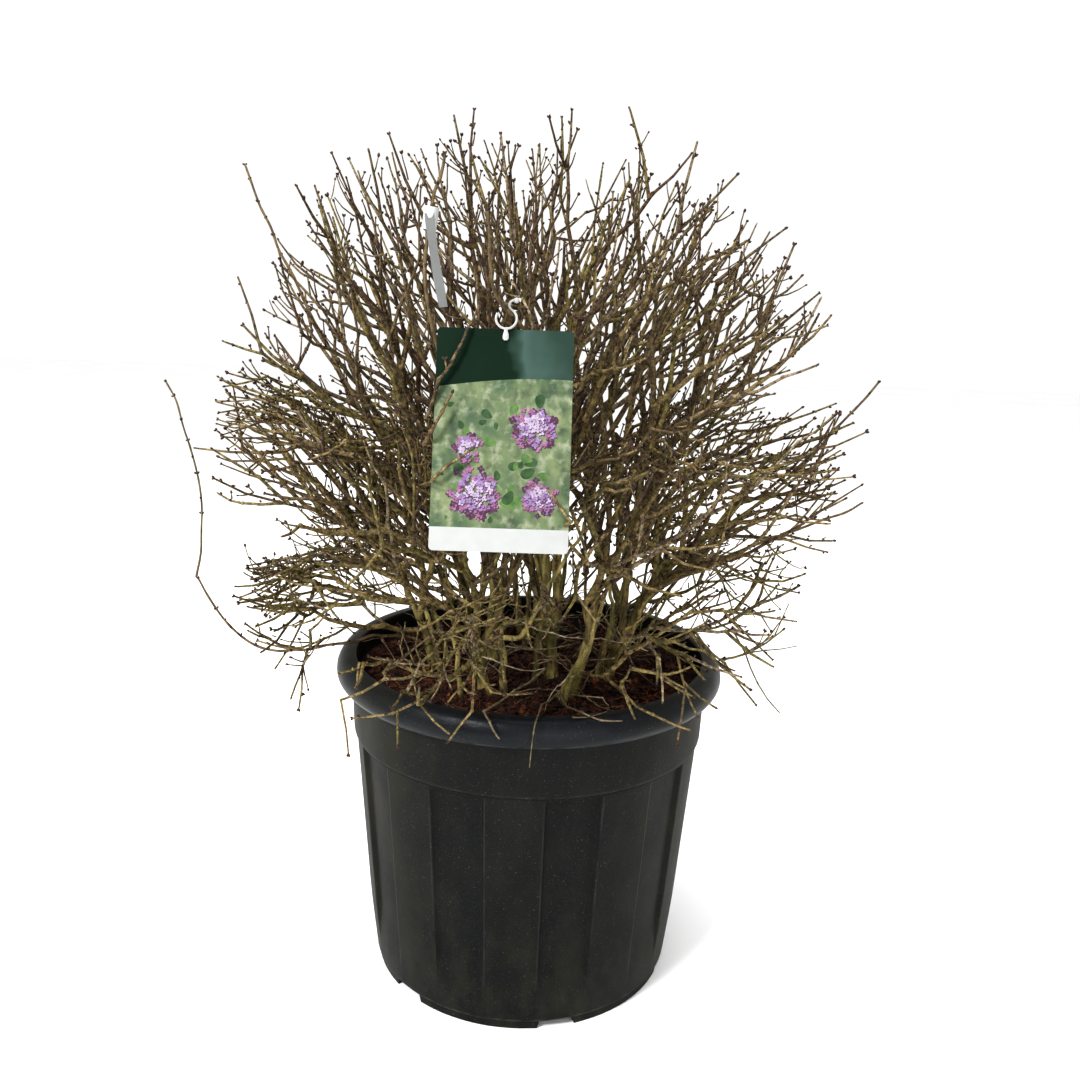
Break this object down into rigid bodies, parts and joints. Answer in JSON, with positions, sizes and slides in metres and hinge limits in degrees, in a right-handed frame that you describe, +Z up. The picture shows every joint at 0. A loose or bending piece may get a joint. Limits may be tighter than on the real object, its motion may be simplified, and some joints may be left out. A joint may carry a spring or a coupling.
{
  "type": "lilac bush in a nursery pot",
  "caption": "Leafless dwarf lilac bush with many stems fanning into a rounded crown of fine twigs, standing in a round ribbed nursery pot with a hanging label.",
  "frame": {"origin": "centre of the pot's flat underside, on the surface that the pot stands on", "axes": "+Z up, -Y towards the front, where the label hangs, +X to the right seen from the front"},
  "size_m": [0.8535, 0.7744, 1.0704],
  "materials": {
    "pot": "charcoal black, faintly dusty, slightly shiny on the lip",
    "compost": "dark red-brown moist bark and coir",
    "stem_bark": "khaki olive bark, matt and finely rough",
    "bough_bark": "olive to brown bark, matt",
    "twigs": "brown twigs with dark red-brown buds",
    "label": "printed plastic card, glossy",
    "hook": "white translucent plastic",
    "strap": "white strap, its free end greyish and translucent"
  },
  "bodies": {
    "root": {"pot": "pot", "compost": "compost", "stem_inner_1": "stem_bark", "stem_inner_2": "stem_bark", "stem_inner_3": "stem_bark", "stem_outer_1": "stem_bark", "stem_outer_2": "stem_bark", "stem_outer_3": "stem_bark", "stem_outer_4": "stem_bark", "stem_outer_5": "stem_bark", "stem_outer_6": "stem_bark", "stem_outer_7": "stem_bark", "bough_outer_1": "bough_bark", "bough_outer_2": "bough_bark", "bough_outer_3": "bough_bark", "bough_outer_4": "bough_bark", "bough_outer_5": "bough_bark", "bough_outer_6": "bough_bark", "bough_outer_7": "bough_bark", "bough_upper_1": "bough_bark", "bough_upper_2": "bough_bark", "bough_upper_3": "bough_bark", "bough_upper_4": "bough_bark", "bough_upper_5": "bough_bark", "bough_upper_6": "bough_bark", "bough_upper_7": "bough_bark", "shoot_left_low": "bough_bark", "shoot_left_high": "bough_bark", "shoot_top_left": "bough_bark", "shoot_right_high": "bough_bark", "shoot_right_low": "bough_bark", "shoot_label": "bough_bark", "shoot_tag": "bough_bark", "twigs_top_1": "twigs", "twigs_top_2": "twigs", "twigs_top_3": "twigs", "twigs_upper_1": "twigs", "twigs_upper_2": "twigs", "twigs_upper_3": "twigs", "twigs_upper_4": "twigs", "twigs_upper_5": "twigs", "twigs_upper_6": "twigs", "twigs_upper_7": "twigs", "twigs_outer_1": "twigs", "twigs_outer_2": "twigs", "twigs_outer_3": "twigs", "twigs_outer_4": "twigs", "twigs_outer_5": "twigs", "twigs_outer_6": "twigs", "twigs_outer_7": "twigs", "twigs_low_1": "twigs", "twigs_low_2": "twigs", "twigs_low_3": "twigs", "twigs_low_4": "twigs", "twigs_low_5": "twigs", "twigs_low_6": "twigs", "twigs_low_7": "twigs", "label_card": "label", "label_hook": "hook", "strap_tag": "strap"}
  },
  "joints": []
}
